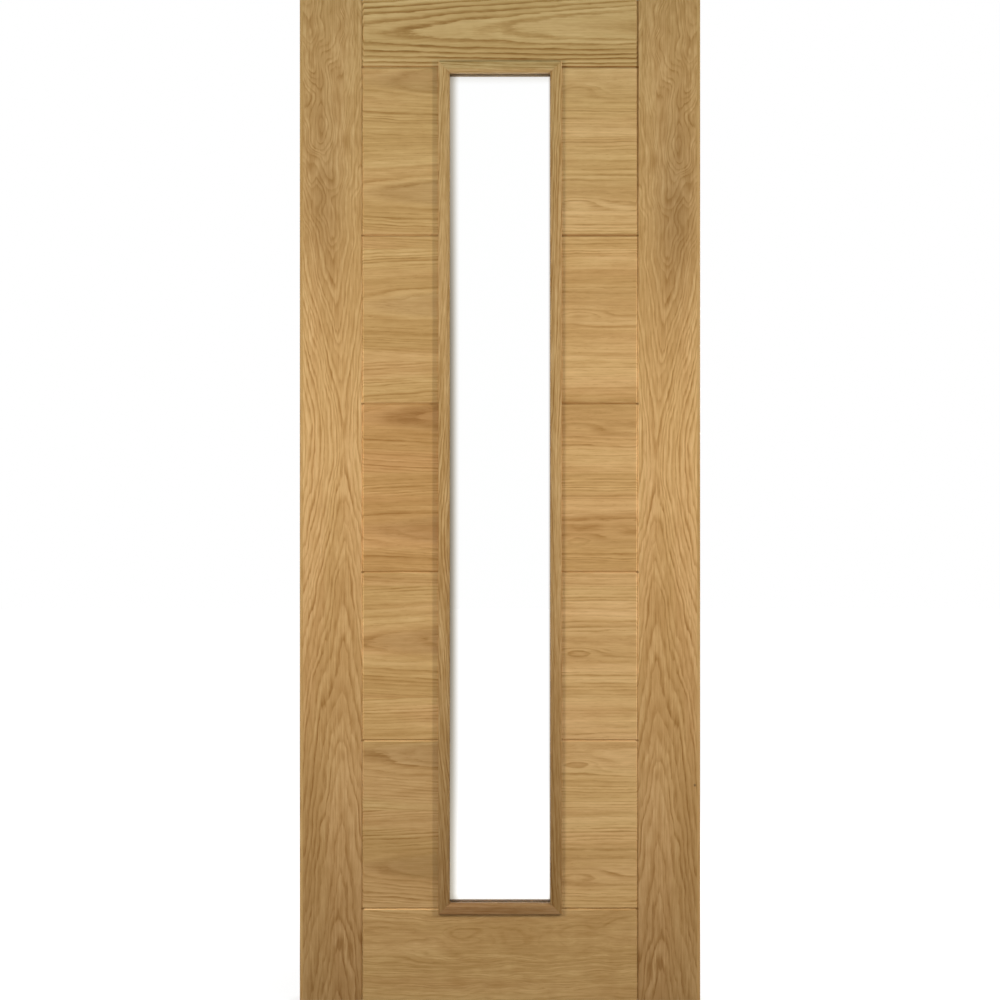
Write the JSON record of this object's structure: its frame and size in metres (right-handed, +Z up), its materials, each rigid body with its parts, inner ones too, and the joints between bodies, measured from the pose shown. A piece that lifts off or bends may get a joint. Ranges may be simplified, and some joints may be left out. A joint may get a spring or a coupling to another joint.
{
  "type": "fire door leaf",
  "caption": "Oak-faced timber fire door leaf with lipped stiles, rails, V-grooved panel boards and a tall glazed slot held by mitred beads.",
  "frame": {"origin": "on the hinge edge, at the foot of the leaf, halfway through its thickness", "axes": "+X across the leaf from the hinge edge to the lock edge, +Y from the front face to the back face, +Z up"},
  "size_m": [0.813, 0.058, 2.032],
  "materials": {
    "oak_veneer": "satin lacquered oak veneer",
    "oak_bead": "satin lacquered solid oak",
    "oak_lipping": "satin lacquered solid oak",
    "core_timber": "bare laminated softwood",
    "glass": "clear polished",
    "gasket": "matt brown strip"
  },
  "bodies": {
    "root": {"hinge_stile_lipping": "oak_lipping", "hinge_stile_core": "core_timber", "hinge_stile_front_facing": "oak_veneer", "hinge_stile_back_facing": "oak_veneer", "lock_stile_lipping": "oak_lipping", "lock_stile_core": "core_timber", "lock_stile_front_facing": "oak_veneer", "lock_stile_back_facing": "oak_veneer", "top_rail_core": "core_timber", "top_rail_front_facing": "oak_veneer", "top_rail_back_facing": "oak_veneer", "bottom_rail_core": "core_timber", "bottom_rail_front_facing": "oak_veneer", "bottom_rail_back_facing": "oak_veneer", "hinge_side_panel_1": "oak_veneer", "hinge_side_panel_2": "oak_veneer", "hinge_side_panel_3": "oak_veneer", "hinge_side_panel_4": "oak_veneer", "hinge_side_panel_5": "oak_veneer", "lock_side_panel_1": "oak_veneer", "lock_side_panel_2": "oak_veneer", "lock_side_panel_3": "oak_veneer", "lock_side_panel_4": "oak_veneer", "lock_side_panel_5": "oak_veneer", "front_bead_hinge_side": "oak_bead", "front_bead_lock_side": "oak_bead", "front_bead_top": "oak_bead", "front_bead_bottom": "oak_bead", "back_bead_hinge_side": "oak_bead", "back_bead_lock_side": "oak_bead", "back_bead_top": "oak_bead", "back_bead_bottom": "oak_bead", "front_gasket": "gasket", "back_gasket": "gasket", "glass_pane": "glass"}
  },
  "joints": []
}
